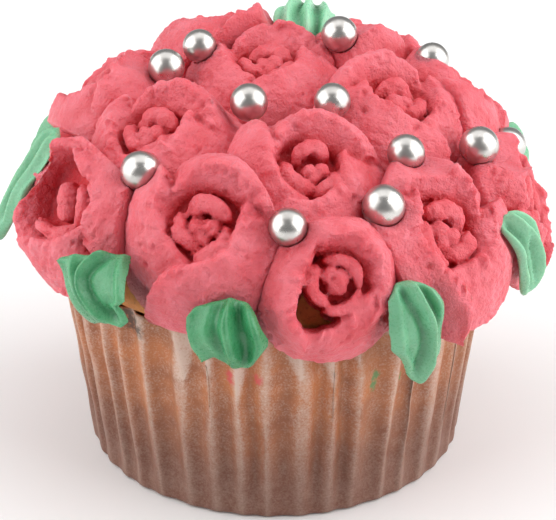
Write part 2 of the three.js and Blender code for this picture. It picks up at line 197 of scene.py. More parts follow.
def new_object(name, points, faces):
    """A mesh object from points in millimetres."""
    mesh = bpy.data.meshes.new(name)
    mesh.from_pydata((np.asarray(points) * MM).tolist(), [], faces)
    mesh.validate()
    obj = bpy.data.objects.new(name, mesh)
    bpy.context.scene.collection.objects.link(obj)
    return obj


def coordinates(obj):
    co = np.empty(len(obj.data.vertices) * 3)
    obj.data.vertices.foreach_get("co", co)
    return co.reshape(-1, 3) / MM


def set_coordinates(obj, points):
    obj.data.vertices.foreach_set("co", (np.asarray(points) * MM).ravel())
    obj.data.update()


def normals(obj):
    obj.data.update()
    out = np.empty(len(obj.data.vertices) * 3)
    obj.data.vertex_normals.foreach_get("vector", out)
    return out.reshape(-1, 3)


def neighbour_mean(obj, values):
    """Each vertex's mean of its neighbours' values."""
    edges = np.empty(len(obj.data.edges) * 2, int)
    obj.data.edges.foreach_get("vertices", edges)
    edges = edges.reshape(-1, 2)
    total = np.zeros_like(values)
    count = np.zeros(len(values))
    for a, b in ((0, 1), (1, 0)):
        np.add.at(total, edges[:, a], values[edges[:, b]])
        np.add.at(count, edges[:, a], 1)
    return total / np.maximum(count, 1)[:, None]


def soften(obj, rounds):
    """Moves each vertex half way to the mean of its neighbours, a few times."""
    points = coordinates(obj)
    for _ in range(rounds):
        points += 0.5 * (neighbour_mean(obj, points) - points)
    set_coordinates(obj, points)


def fuse(obj, voxel):
    """Makes one closed skin of a mesh of overlapping closed shells."""
    bpy.context.view_layer.objects.active = obj
    obj.data.remesh_voxel_size = voxel * MM
    obj.data.remesh_voxel_adaptivity = 0
    bpy.ops.object.voxel_remesh()


def paint(obj, name, values):
    """Stores a value for each vertex, which the materials read."""
    layer = obj.data.attributes.new(name, "FLOAT", "POINT")
    layer.data.foreach_set("value", np.asarray(values, float))


def finish_piece(obj, material, node):
    """Gives a piece its material and smooth shading, hangs it on the root body and hides the solid that it
    stands for.
    """
    obj.data.materials.clear()
    obj.data.materials.append(material)
    obj.data.polygons.foreach_set("use_smooth", [True] * len(obj.data.polygons))
    obj.data.update()
    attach(obj, "root")
    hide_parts(node)


# Materials
class Shader:
    """A node material that is written as short calls."""

    def __init__(self, name):
        self.material = bpy.data.materials.new(name)
        self.material.use_nodes = True
        self.nodes = self.material.node_tree.nodes
        self.links = self.material.node_tree.links
        self.surface = self.nodes["Principled BSDF"]
        self.coords = self.nodes.new("ShaderNodeTexCoord").outputs["Object"]

    def node(self, kind, inputs=(), **settings):
        made = self.nodes.new(kind)
        for key, value in settings.items():
            setattr(made, key, value)
        for key, value in dict(inputs).items():
            self.feed(made.inputs[key], value)
        return made

    def feed(self, socket, value):
        if isinstance(value, bpy.types.NodeSocket):
            self.links.new(value, socket)
        else:
            socket.default_value = value

    def noise(self, size, detail=2.0, roughness=0.5):
        """Noise with features about size millimetres across, 0 to 1."""
        inputs = {"Vector": self.coords, "Scale": 1 / (size * MM), "Detail": detail, "Roughness": roughness}
        return self.node("ShaderNodeTexNoise", inputs).outputs["Fac"]

    def pits(self, size):
        """Distance to the nearest of points that lie about size millimetres apart."""
        inputs = {"Vector": self.coords, "Scale": 1 / (size * MM)}
        return self.node("ShaderNodeTexVoronoi", inputs, feature="F1").outputs["Distance"]

    def attribute(self, name):
        return self.node("ShaderNodeAttribute", attribute_name=name).outputs["Fac"]

    def span(self, value, low, high, to_low=0.0, to_high=1.0):
        """The value's run from low to high, spread from to_low to to_high."""
        inputs = {"Value": value, "From Min": low, "From Max": high, "To Min": to_low, "To Max": to_high}
        return self.node("ShaderNodeMapRange", inputs).outputs["Result"]

    def math(self, operation, a, b):
        return self.node("ShaderNodeMath", {0: a, 1: b}, operation=operation).outputs[0]

    def mix(self, factor, a, b):
        made = self.node("ShaderNodeMix", data_type="RGBA")
        self.feed(made.inputs["Factor"], factor)
        self.feed(made.inputs[6], a)
        self.feed(made.inputs[7], b)
        return made.outputs[2]

    def bump(self, height, distance, strength=1.0, after=None):
        inputs = {"Height": height, "Distance": distance * MM, "Strength": strength}
        made = self.node("ShaderNodeBump", inputs)
        if after is not None:
            self.feed(made.inputs["Normal"], after)
        return made.outputs["Normal"]

    def set(self, **inputs):
        """Feeds the surface's sockets, with a line for each space in a name, and returns the material."""
        for key, value in inputs.items():
            self.feed(self.surface.inputs[key.replace("_", " ")], value)
        return self.material


def srgb(r, g, b):
    """A colour from 0 to 255 sRGB values to the linear values that nodes take."""
    linear = [c / 255 / 12.92 if c <= 10 else ((c / 255 + 0.055) / 1.055) ** 2.4 for c in (r, g, b)]
    return (*linear, 1.0)


def icing_material(name, colours, grain=0.3, roughness=0.38, subsurface=0.5, rough_skin=1.0):
    """Buttercream: its colours are a painted shade for the folds and the rose hearts, the body, pale clouds
    in it and a fair piece.
    """
    painted_shade_colour, body, pale, fair = (srgb(*colour) for colour in colours)
    s = Shader(name)
    clouds = s.noise(3.5, 3)
    fine = s.noise(grain, 3, 0.65)
    colour = s.mix(s.span(clouds, 0.35, 0.65), body, pale)
    colour = s.mix(s.attribute("fair"), colour, fair)
    # Painted shade: the folds and the rose hearts take the deeper, more saturated shade colour
    colour = s.mix(s.span(s.attribute("hollow"), 0.0, 1.0, 0.0, 0.85), colour, painted_shade_colour)
    rough = s.span(fine, 0.3, 0.7, roughness - 0.1, roughness + 0.12)
    holes = s.span(s.pits(0.9), 0.0, 0.22)
    holes = s.math("MAXIMUM", holes, s.span(s.noise(2.2, 1), 0.42, 0.5))
    bumped = s.bump(holes, 0.12 * rough_skin, 0.5)
    bumped = s.bump(s.noise(grain * 2.2, 2), 0.38 * rough_skin, 0.85, bumped)
    bumped = s.bump(fine, 0.36 * rough_skin, 0.95, bumped)
    s.surface.subsurface_method = "RANDOM_WALK"
    s.feed(s.surface.inputs["Subsurface Radius"], (1.0, 0.32, 0.25))
    return s.set(Base_Color=colour, Roughness=rough, Normal=bumped, Subsurface_Weight=subsurface,
                 Subsurface_Scale=1.1 * MM, Specular_IOR_Level=0.55)


# First of each list is the painted shade of the folds, then the body, the pale clouds and the fair colour
pink_colours = [(206, 28, 38), (229, 96, 108), (240, 122, 134), (244, 140, 150)]
green_colours = [(16, 104, 54), (52, 134, 84), (78, 156, 106), (150, 212, 174)]
pink = icing_material("pink_buttercream", pink_colours)
green = icing_material("green_buttercream", green_colours, 0.4, 0.3, 0.3, 0.25)


def silver_material():
    s = Shader("silver_sugar_coat")
    fine = s.noise(0.35, 2)
    cloud = s.noise(1.6, 2)
    colour = s.mix(s.span(cloud, 0.35, 0.7), srgb(214, 211, 207), srgb(190, 187, 183))
    return s.set(Base_Color=colour, Metallic=1.0, Roughness=s.span(cloud, 0.3, 0.7, 0.26, 0.34),
                 Normal=s.bump(fine, 0.02, 0.5))


silver = silver_material()


def paper_material():
    s = Shader("greaseproof_paper")
    speckle = s.noise(0.3, 3, 0.7)
    blotches = s.noise(5.0, 3, 0.6)
    panel = s.mix(s.span(blotches, 0.35, 0.68), srgb(188, 114, 66), srgb(150, 88, 54))
    # Painted shade: the brown panels darken towards the foot
    panel = s.mix(s.attribute("low"), panel, srgb(112, 66, 48))
    frost = s.math("ADD", s.attribute("frost"), s.span(speckle, 0.3, 0.7, -0.3, 0.42))
    frost = s.math("ADD", frost, s.span(s.noise(2.0, 3), 0.3, 0.7, -0.14, 0.14))
    # Painted shade: the pale patches darken towards the foot as well
    pale = s.mix(s.attribute("low"), srgb(208, 180, 164), srgb(150, 120, 106))
    colour = s.mix(s.span(frost, 0.0, 1.0), panel, pale)
    ragged = s.span(s.noise(0.7, 3, 0.6), 0.35, 0.6, 0.25, 1.0)
    for mark, (shade, _) in CASE_MARKS.items():
        cover = s.span(s.math("MULTIPLY", s.attribute(mark), ragged), 0.12, 0.5, 0.0, 0.85)
        colour = s.mix(cover, colour, srgb(*shade))
    rough = s.span(speckle, 0.3, 0.7, 0.45, 0.65)
    return s.set(Base_Color=colour, Roughness=rough, Normal=s.bump(speckle, 0.05, 0.5),
                 Subsurface_Weight=0.1, Subsurface_Scale=0.8 * MM)


paper = paper_material()


def sponge_material():
    s = Shader("baked_sponge")
    crumb = s.noise(0.7, 4, 0.7)
    cloud = s.noise(4.0, 3)
    colour = s.mix(s.span(cloud, 0.35, 0.65), srgb(188, 114, 52), srgb(204, 134, 68))
    colour = s.mix(s.span(crumb, 0.3, 0.48, 0.7, 0.0), colour, srgb(142, 82, 40))
    holes = s.span(s.pits(1.3), 0.0, 0.35)
    bumped = s.bump(holes, 0.25, 0.6)
    return s.set(Base_Color=colour, Roughness=0.7, Normal=s.bump(crumb, 0.15, 0.7, bumped),
                 Subsurface_Weight=0.15, Subsurface_Scale=1.2 * MM)


crust = sponge_material()


# Roses
# A pattern is one way that the roses are piped, for a rose of the pattern radius. The well is the hollow that
# holds the heart: the place of its middle and its radius. Its floor has a height, or there is none and the
# heart stands on a column of that radius and height. An outer petal is how far its inner face falls before
# the well (none for a wall that is steep all the way), how far out its slope ends, and its rim from the
# petal's inner tip to its outer end, as angle, distance and height from the heart. An inner petal is its
# width and its middle line. The bud is knobs: x, y, height and size. The side is the height where the rose is
# widest and how far it tucks in below that, and the base is the share of the radius that its foot has.
PATTERN_RADIUS = 12.8
PINWHEEL = {
    "well": (0.5, -0.6, 4.75), "floor": -2.1,
    "outer": [
        (2.0, 13.0, [(268, 5.3, -0.9), (252, 5.5, 0.2), (224, 5.3, 0.8), (195, 5.5, 1.1), (170, 6.4, 1.2),
                     (150, 7.2, 1.0), (134, 8.0, 0.1)]),
        (2.2, 10.8, [(150, 4.9, -0.7), (131, 5.6, 0.5), (110, 6.5, 1.2), (88, 7.2, 1.6), (68, 7.9, 1.6),
                     (50, 8.3, 1.3), (30, 8.6, 0.5), (12, 8.6, -1.0)]),
        (2.0, 13.5, [(32, 6.1, 0.3), (15, 5.5, 0.8), (-8, 5.3, 0.9), (-35, 5.4, 1.1), (-62, 5.6, 1.3),
                     (-92, 6.2, 1.3), (-111, 7.4, 1.0), (-120, 8.9, 0.3)]),
    ],
    "inner": [
        (2.4, [(158, 1.9, -0.3), (120, 2.1, 0.5), (92, 2.35, 0.9), (58, 2.6, 0.8), (30, 2.9, 0.4),
               (10, 3.3, -0.5)]),
        (1.9, [(160, 3.1, -0.2), (185, 2.95, 0.5), (212, 2.9, 0.6), (245, 2.85, 0.3), (268, 2.85, -0.6)]),
        (1.9, [(-2, 3.3, -0.3), (-28, 3.7, 0.4), (-52, 3.95, 0.6), (-76, 4.15, 0.5), (-94, 4.6, 0.0)]),
    ],
    "bud": [(1.25, -0.45, 0.5, 1.2), (-0.55, -0.6, 0.4, 1.1), (0.4, -1.8, 0.1, 1.0), (0.4, -0.5, 0.3, 0.9)],
}
# The same rose with its first petal drawn in, so that the crust shows below it
FIRST_RIM = PINWHEEL["outer"][0][2]
DRAWN_IN = {**PINWHEEL, "base": 0.95, "outer": [(2.0, 11.9, FIRST_RIM), *PINWHEEL["outer"][1:]]}
# The same rose where it hangs over the cupcake's edge like a ball
BALL = {**PINWHEEL, "side": (-4.4, 1.2), "base": 0.84}
WHORL = {
    "well": (-0.6, -0.6, 4.8), "floor": -2.1,
    "outer": [
        (2.0, 12.8, [(260, 5.2, -0.9), (242, 5.3, 0.2), (216, 5.4, 0.8), (192, 5.8, 1.1), (170, 6.1, 1.2),
                     (148, 6.9, 1.2), (126, 8.0, 0.3)]),
        (2.2, 10.4, [(152, 5.3, -0.7), (138, 6.0, 0.5), (120, 6.6, 1.2), (98, 7.1, 1.7), (76, 7.4, 1.7),
                     (55, 7.2, 1.4), (30, 7.3, 0.7), (8, 7.8, -0.8)]),
        (2.0, 12.8, [(26, 5.0, 0.3), (8, 4.5, 0.7), (-15, 4.4, 0.9), (-45, 4.9, 1.1), (-75, 5.4, 1.3),
                     (-100, 5.9, 1.2), (-125, 6.7, 1.0), (-140, 7.9, 0.2)]),
    ],
    "inner": [
        (2.0, [(156, 2.5, -0.3), (122, 2.7, 0.6), (90, 2.9, 1.0), (58, 2.7, 0.8), (32, 2.3, -0.2)]),
        (1.9, [(158, 3.8, -0.2), (182, 3.6, 0.4), (206, 3.3, 0.6), (232, 3.1, 0.4), (264, 3.0, -0.5)]),
        (1.7, [(-12, 3.0, -0.2), (-40, 3.3, 0.5), (-68, 3.4, 0.5), (-96, 3.4, -0.3)]),
    ],
    "bud": [(1.0, -0.55, 0.5, 0.95), (-0.7, -0.45, 0.4, 0.9), (-0.1, -1.3, 0.2, 0.85)],
}
HOOP = {
    "well": (0, 0, 4.3), "floor": None, "heart": (3.7, -2.0),
    "outer": [
        (None, 12.4, [(116, 6.2, 0.9), (132, 5.4, 1.1), (155, 5.1, 1.2), (178, 5.6, 1.3), (198, 6.9, 1.3),
                      (214, 8.4, 1.1), (230, 9.4, 0.9), (243, 10.2, 0.4)]),
        (None, 12.4, [(-16, 5.8, 0.0), (-36, 5.1, 0.6), (-54, 5.1, 0.6), (-74, 5.8, 0.4), (-92, 7.1, 0.2),
                      (-109, 8.3, 0.1), (-124, 9.2, -0.2), (-134, 10.0, -0.6)]),
        (2.6, 11.2, [(-62, 8.0, -0.6), (-40, 7.6, 0.2), (-15, 7.0, 0.8), (12, 7.0, 1.1), (40, 7.2, 1.4),
                     (70, 7.1, 1.5), (96, 6.9, 1.2), (116, 7.2, 0.7), (136, 8.2, -0.6)]),
    ],
    "inner": [
        (2.0, [(136, 3.2, -0.1), (152, 3.4, 0.5), (178, 3.6, 0.7), (206, 3.5, 0.6), (236, 3.4, 0.2),
               (252, 3.4, -0.5)]),
        (1.6, [(118, 3.0, -0.4), (92, 3.05, 0.3), (60, 3.1, 0.5), (24, 3.1, 0.4), (-24, 3.2, -0.3)]),
        (1.8, [(-26, 3.6, -0.2), (-50, 4.0, 0.4), (-78, 4.2, 0.5), (-100, 4.3, 0.3), (-116, 4.3, -0.4)]),
    ],
    "bud": [(-0.6, 0.65, 0.4, 1.5), (0.55, 0.15, 0.5, 1.45), (-0.1, -0.85, 0.3, 1.35), (0.6, -1.2, 0.1, 1.1)],
}
CUP = {
    "well": (-1.6, 0.4, 6.6), "floor": -3.6, "side": (-4.6, 0.9), "base": 0.84,
    "outer": [
        (4.2, 11.6, [(112, 7.6, -0.4), (128, 8.3, 0.8), (150, 9.0, 1.6), (172, 9.3, 1.8), (195, 9.5, 1.7),
                     (216, 9.3, 1.3), (236, 8.6, 0.5), (250, 8.0, -0.4)]),
        (2.6, 11.8, [(-6, 5.4, 0.3), (-32, 5.1, 0.8), (-58, 5.2, 1.1), (-82, 5.7, 1.3), (-100, 6.5, 1.3),
                     (-116, 7.6, 1.2), (-130, 9.2, 0.6)]),
        (2.4, 11.6, [(112, 7.0, 0.6), (98, 6.2, 1.0), (76, 5.7, 1.1), (50, 5.7, 0.9), (22, 5.7, 0.7),
                     (-6, 5.9, 0.5), (-20, 6.6, -0.4)]),
        (1.2, 11.6, [(122, 8.8, 0.0), (100, 8.7, 0.6), (75, 8.9, 0.7), (50, 9.4, 0.1), (36, 9.8, -1.0)]),
    ],
    "inner": [
        (1.7, [(82, 3.0, -0.4), (54, 3.5, 0.7), (26, 3.7, 0.8), (-4, 3.6, 0.2), (-22, 3.4, -0.5)]),
        (1.6, [(218, 6.2, -0.4), (234, 5.3, 0.7), (254, 4.3, 0.8), (282, 3.8, 0.7), (310, 3.7, 0.5),
               (336, 3.8, -0.2)]),
    ],
    "bud": [(-1.3, 1.6, 0.8, 1.25), (-0.4, 0.6, 0.9, 1.5), (0.4, -0.6, 0.8, 1.3), (-1.6, 0.2, 0.3, 1.1)],
}
# The pattern of each rose that the front shows, how far it is turned, and whether it is mirrored
PIPING = {
    "front_left": (DRAWN_IN, 0, False), "front_right": (HOOP, 0, False), "middle": (WHORL, 0, False),
    "left": (CUP, 0, False), "upper_left": (PINWHEEL, 25, False), "top": (PINWHEEL, 4, False),
    "upper_right": (PINWHEEL, -45, True), "right": (BALL, -42, True), "far_right": (BALL, 30, False),
    "far_left": (BALL, -20, False),
}
# How far the first rose spreads over the second, past the middle between them
SPREADS = {("front_left", "left"): 1.3, ("front_left", "front_right"): 0.3}


def spline(p0, p1, p2, p3, f):
    """Catmull-Rom between the second and the third of four points."""
    bend = (2 * p0 - 5 * p1 + 4 * p2 - p3) * f**2
    return 0.5 * (2 * p1 + (p2 - p0) * f + bend + (3 * p1 - p0 - 3 * p2 + p3) * f**3)


def through(stations, steps):
    """A smooth run through the stations, as steps + 1 rows."""
    points = np.array(stations, float)
    last = len(points) - 1
    t = np.linspace(0, last, steps + 1)
    i = np.minimum(np.floor(t).astype(int), last - 1)
    return spline(*(points[np.clip(i + k, 0, last)] for k in (-1, 0, 1, 2)), (t - i)[:, None])


def rounded(outline, samples):
    """A smooth closed outline through the points, as a number of samples."""
    points = np.asarray(outline, float)
    count = len(points)
    t = np.linspace(0, count, samples, endpoint=False)
    i = np.floor(t).astype(int)
    return spline(*(points[(i + k) % count] for k in (-1, 0, 1, 2)), (t - i)[:, None])


def swept(rows, section, samples):
    """A closed shell: the section at each row of angle, torn place and calm place, round the heart."""
    rings = []
    steps = len(rows) - 1
    for step, (angle, *places) in enumerate(rows):
        ring = rounded(section(angle, step / steps, *places), samples)
        a = math.radians(angle)
        rings.append(np.stack([ring[:, 0] * math.cos(a), ring[:, 0] * math.sin(a), ring[:, 1]], -1))
    points = np.concatenate(rings)
    faces = []
    for ring in range(steps):
        for i in range(samples):
            a, b = ring * samples + i, ring * samples + (i + 1) % samples
            faces.append((a, b, b + samples, a + samples))
    faces.append(tuple(range(samples))[::-1])
    faces.append(tuple(range(steps * samples, (steps + 1) * samples)))
    if rows[0][0] < rows[-1][0]:
        faces = [face[::-1] for face in faces]
    return points, faces


def torn(rows, amount, seed):
    """Tears a rim's edge along its length, and keeps its calm distance and height beside the torn ones."""
    along = np.cumsum(np.abs(np.diff(rows[:, 0], prepend=rows[0, 0]))) / 57.3 * rows[:, 1]
    at = np.stack([along, np.full(len(rows), seed), np.full(len(rows), 0.5)], -1)
    rows[:, 1] += 0.28 * amount * noise(at, 2.2, 17.0)
    rows[:, 2] += 0.3 * amount * noise(at, 2.6)
    calm = rows[:, 1:].copy()
    notch = np.maximum(0, noise(at, 1.4, 9.0) - 0.3)
    rows[:, 1] += 0.3 * amount * noise(at, 0.8, 21.0)
    rows[:, 2] += amount * (0.52 * noise(at, 0.9, 3.0) - 1.5 * notch)
    return np.hstack([rows, calm])


def well_edge(well, angle):
    """How far from the heart the well's wall is, towards an angle."""
    x, y, radius = well
    a = math.radians(angle)
    across = y * math.cos(a) - x * math.sin(a)
    return x * math.cos(a) + y * math.sin(a) + math.sqrt(radius**2 - across**2)


def outer_petal(well, fall, skirt, widest, tuck):
    """Section of an outer petal: inner face, rim, and the slope out and down to where it is widest."""

    def section(angle, t, rim, up, calm_rim, calm_up):
        blade = 1 - float(smoothstep(0.02, 0.2, t))
        lip = 0.6 - 0.3 * blade
        foot = calm_rim - 0.9 if fall is None else min(well_edge(well, angle), calm_rim - 0.9)
        ledge = calm_up - (1.3 if fall is None else min(fall, 0.5 + 0.75 * (calm_rim - foot)))
        lift = lerp(-1.0, 0.35, t)
        outline = [(foot - 0.3, -ROSE_DEPTH + 2), (foot - 0.15, -4.4), (foot - 0.05, ledge - 1.0),
                   (foot + 0.2, ledge - 0.2), (lerp(foot, calm_rim - lip, 0.55), lerp(ledge, calm_up, 0.4)),
                   (rim - lip, up - 0.4), (rim - 0.15, up), (rim + lip, up - 0.28)]
        for q in (0.18, 0.42, 0.7, 0.9, 1.0):
            out = lerp(calm_rim + 0.6, skirt, q) + lift * q
            low = lerp(calm_up - 0.55, widest, q**2) + lift * (1 - q) * min(1, 3 * q)
            outline.append((lerp(out, rim + 0.5 + 0.9 * q, blade), lerp(low, up - 0.5 - 6 * q, blade)))
        outline.append((lerp(skirt - 0.6 - tuck, rim + 0.8, blade), widest - 1.7))
        outline.append((lerp(skirt - 3 - 1.5 * tuck, rim, blade), -ROSE_DEPTH + 1.2))
        return outline

    return section


def inner_petal(width):
    """Section of an inner petal, a thick band of icing with a round top."""

    def section(angle, t, torn_middle, up, middle, calm_up):
        half = width / 2 * (0.45 + 0.55 * float(smoothstep(0, 0.25, t) * (1 - 0.7 * smoothstep(0.75, 1, t))))
        return [(middle - 0.7 * half, -6), (middle - 0.9 * half, -2.6), (middle - half, calm_up - 1.1),
                (middle - 0.9 * half, calm_up - 0.45), (torn_middle - 0.45 * half, up - 0.06),
                (torn_middle + 0.3 * half, up), (torn_middle + 0.85 * half, up - 0.25),
                (middle + half, calm_up - 0.9), (middle + 0.95 * half, -2.6), (middle + 0.9 * half, -6)]

    return section


def lathed(profile, sides):
    """A closed shell from a profile of [distance, height] points that starts and ends on the axis."""
    points, faces = [], []
    angles = np.linspace(0, 2 * math.pi, sides, endpoint=False)
    for out, up in profile[1:-1]:
        points += [(out * math.cos(a), out * math.sin(a), up) for a in angles]
    rings = len(profile) - 2
    points += [(0, 0, profile[0][1]), (0, 0, profile[-1][1])]
    for r in range(rings - 1):
        for i in range(sides):
            j = (i + 1) % sides
            faces.append((r * sides + i, r * sides + j, (r + 1) * sides + j, (r + 1) * sides + i))
    for i in range(sides):
        j = (i + 1) % sides
        faces.append((rings * sides, j, i))
        faces.append((rings * sides + 1, (rings - 1) * sides + i, (rings - 1) * sides + j))
    return np.array(points), faces


def knob(x, y, height, size):
    """A finger of icing with a round end, whose top is at the height."""
    profile = [(0, -5), (size * 0.9, -4.6)]
    for a in np.radians((0, 25, 50, 72)):
        profile.append((size * math.cos(a), height - size + size * math.sin(a)))
    points, faces = lathed(profile + [(0, height)], 14)
    return points + np.array([x, y, 0]), faces


def piped_rose(pattern, turn, mirrored, radius, seed):
    """The shells of one rose round its heart."""
    size = radius / PATTERN_RADIUS
    skirt = radius * pattern.get("base", 1.05)
    side = pattern.get("side", (-6.4, 0))
    parts = []

    def placed(stations, steps):
        rows = through(stations, steps)
        if mirrored:
            rows[:, 0] = 180 - rows[:, 0]
        return rows * (1, size, 1) + (turn, 0, 0)

    cos, sin = math.cos(math.radians(turn)), math.sin(math.radians(turn))

    def placed_point(x, y):
        x = -x if mirrored else x
        return size * (x * cos - y * sin), size * (x * sin + y * cos)

    well = (*placed_point(*pattern["well"][:2]), size * pattern["well"][2])
    for i, (fall, slope_end, stations) in enumerate(pattern["outer"]):
        rows = torn(placed(stations, 96), 1.0, seed + 0.31 * i)
        parts.append(swept(rows, outer_petal(well, fall, slope_end * size, *side), 60))
    for i, (width, stations) in enumerate(pattern["inner"]):
        rows = torn(placed(stations, 48), 0.55, seed + 0.17 * i + 5)
        parts.append(swept(rows, inner_petal(width * size), 36))
    for x, y, height, knob_size in pattern["bud"]:
        parts.append(knob(*placed_point(x, y), height, size * knob_size))
    if pattern["floor"] is None:
        out, up = pattern["heart"][0] * size, pattern["heart"][1]
        parts.append(lathed([(0, -6.5), (out - 0.6, -6.5), (out, up - 1), (out - 0.8, up), (0, up)], 32))
    else:
        out, up = well[2], pattern["floor"]
        base, base_faces = lathed([(0, -8), (out, -8), (out, up - 0.7), (out - 0.5, up), (0, up)], 40)
        parts.append((base + (well[0] - 0.45 * cos, well[1] - 0.45 * sin, 0), base_faces))
        foot = [(0, -ROSE_DEPTH), (skirt - 4, -ROSE_DEPTH + 0.4), (skirt - 1.4, -7.6), (skirt - 3, -5.4)]
        parts.append(lathed(foot + [(0, -5.0)], 48))
    return parts


def axes_of(faces_to):
    """A rose's own directions: across, up its face, and out along its axis."""
    azimuth, tilt = faces_to
    axis = around(azimuth, math.sin(math.radians(tilt)), math.cos(math.radians(tilt)))
    across = around(azimuth + 90, 1, 0)
    return across, np.cross(axis, across), axis


def case_radius(up):
    """Distance of the paper's crests from the axis at a height."""
    return lerp(BASE_RADIUS, RIM_RADIUS, np.clip(up / CASE_HEIGHT, 0, 1))


def keep_off_body(points):
    """Moves points out of the sponge's dome and of the case's wall."""
    out = np.hypot(points[:, 0], points[:, 1])
    up = points[:, 2]
    high = up >= CASE_HEIGHT + 0.3
    reach = np.hypot(out / (DOME_RADIUS + 0.35), (up - DOME_BASE) / (DOME_TOP + 0.35 - DOME_BASE))
    inside = high & (reach < 1) & (up >= DOME_BASE)
    grow = np.where(inside, 1 / np.maximum(reach, 1e-3), 1)
    points[:, 0] *= grow
    points[:, 1] *= grow
    points[:, 2] = np.where(inside, DOME_BASE + (up - DOME_BASE) * grow, up)
    low = points[:, 2] < DOME_BASE
    wall = np.where(points[:, 2] < CASE_HEIGHT + 0.3, case_radius(points[:, 2]) + 0.3, DOME_RADIUS + 0.35)
    out = np.hypot(points[:, 0], points[:, 1])
    push = low & (out < wall)
    grow = np.where(push, wall / np.maximum(out, 1e-3), 1)
    points[:, 0] *= grow
    points[:, 1] *= grow
    return points


def half_widths(shape, t, s):
    """How far the leaf reaches to the side that s is on, at the length t."""
    steps = np.linspace(0, 1, len(shape["left"]))
    left, right = (np.interp(t, steps, shape[side]) for side in ("left", "right"))
    return np.where(s < 0, left, right)


def leaf_surface(name, rows, columns):
    """Points and outward normals of a leaf's middle surface, from root to tip and from left to right."""
    azimuth, out, up = LEAVES[name]
    shape = LEAF_SHAPES.get(name, LEAF_SHAPES["other"])
    t = np.linspace(0, 1, rows)[:, None]
    s = np.linspace(-1, 1, columns)[None, :]

    def spine(at):
        shares = ((1 - at) ** 2, 2 * at * (1 - at), at**2)
        bent = [shares[0] * ends[0] + shares[1] * ends[1] + shares[2] * ends[2] for ends in (out, up)]
        return around(lerp(azimuth[0], azimuth[1], at), *bent)

    along = spine(t + 0.01) - spine(t - 0.01)
    along /= np.linalg.norm(along, axis=-1, keepdims=True)
    across = around(lerp(azimuth[0], azimuth[1], t) + 90, 1, 0)
    normal = np.cross(along, across)
    side = half_widths(shape, t, s) * s
    five = np.linspace(-1, 1, 5)
    end = np.interp(s, five, shape["end"]) * smoothstep(0.55, 1, t)
    end = end + np.interp(s, five, shape.get("start", (0, 0, 0, 0, 0))) * smoothstep(0.45, 0, t)
    middle = spine(t) + across * side[..., None] + along * end[..., None]
    return middle, np.broadcast_to(normal, middle.shape)


def keep_under_leaves(points, rows=36, columns=15):
    """Presses the icing into a shallow bed below each leaf."""
    for name in LEAVES:
        middle, normal = (part.reshape(-1, 3) for part in leaf_surface(name, rows, columns))
        centre = middle.mean(axis=0)
        near = np.nonzero(np.linalg.norm(points - centre, axis=1) < 13)[0]
        for chunk in np.array_split(near, max(1, len(near) // 2000)):
            if len(chunk) == 0:
                continue
            apart = points[chunk][:, None, :] - middle[None, :, :]
            closest = np.argmin((apart**2).sum(-1), axis=1)
            rel = apart[np.arange(len(chunk)), closest]
            outward = normal[closest]
            height = np.einsum("ij,ij->i", rel, outward)
            beside = np.linalg.norm(rel - height[:, None] * outward, axis=1)
            ceiling = -LEAF_THICKNESS / 2 - 0.1 + 0.9 * np.maximum(beside - 0.35, 0)
            over = np.where(beside < 2.5, height - ceiling, 0)
            eased = np.where(over > 0, 0.2 * (1 - np.exp(-over / 0.2)), over)
            hold = smoothstep(3.5, 1.2, height) * smoothstep(0.02, 0.2, closest // columns / rows)
            points[chunk] -= (np.where(over > 0, over - eased, 0) * hold)[:, None] * outward
    return points


def keep_apart(points, name, width=0.7, overlap=0.3):
    """Presses a rose back, softly, from the planes between it and its neighbours."""
    at, _, radius, _ = ROSES[name]
    mine = on_crown(*at)
    for other, (other_at, _, other_radius, _) in ROSES.items():
        if other == name:
            continue
        theirs = on_crown(*other_at)
        apart = np.linalg.norm(mine - theirs)
        inward = (mine - theirs) / apart
        spread = SPREADS.get((name, other), 0) - SPREADS.get((other, name), 0)
        plane = theirs @ inward + apart * other_radius / (radius + other_radius) - overlap - spread
        depth = points @ inward - plane
        pressed = width * np.exp(np.minimum(depth - width, 0) / width)
        move = np.where(depth < width, pressed - depth, 0)
        points += move[:, None] * inward
    return points


def keep_off_pearls(points, clear=0.12):
    """Presses the icing into a shallow socket round each pearl."""
    for azimuth, polar, off, diameter in PEARLS:
        centre = on_crown(azimuth, polar, off)
        outward = on_crown(azimuth, polar, off + 1) - centre
        reach = diameter / 2 + clear
        rel = points - centre
        height = rel @ outward
        beside = np.linalg.norm(rel - height[:, None] * outward, axis=1)
        ceiling = -0.3 * reach + 0.75 * np.maximum(beside - 0.55 * reach, 0)
        near = (beside < 2.2 * reach) & (height < 5 * reach)
        over = np.where(near, height - ceiling, 0)
        eased = np.where(over > 0, 0.3 * (1 - np.exp(-over / 0.3)), over)
        points -= np.where(near & (over > 0), over - eased, 0)[:, None] * outward
        rel = points - centre
        from_centre = np.linalg.norm(rel, axis=1)
        grow = np.where(from_centre < reach, reach / np.maximum(from_centre, 1e-3), 1)
        points += rel * (grow - 1)[:, None]
    return points


def folds(obj, rounds, full):
    """How far each point lies below its surroundings, 0 to 1, for the painted shade in the folds."""
    level = coordinates(obj)
    mean = level.copy()
    for _ in range(rounds):
        mean = neighbour_mean(obj, mean)
    sunk = np.einsum("ij,ij->i", mean - level, normals(obj))
    return np.clip(sunk / full, 0, 1)


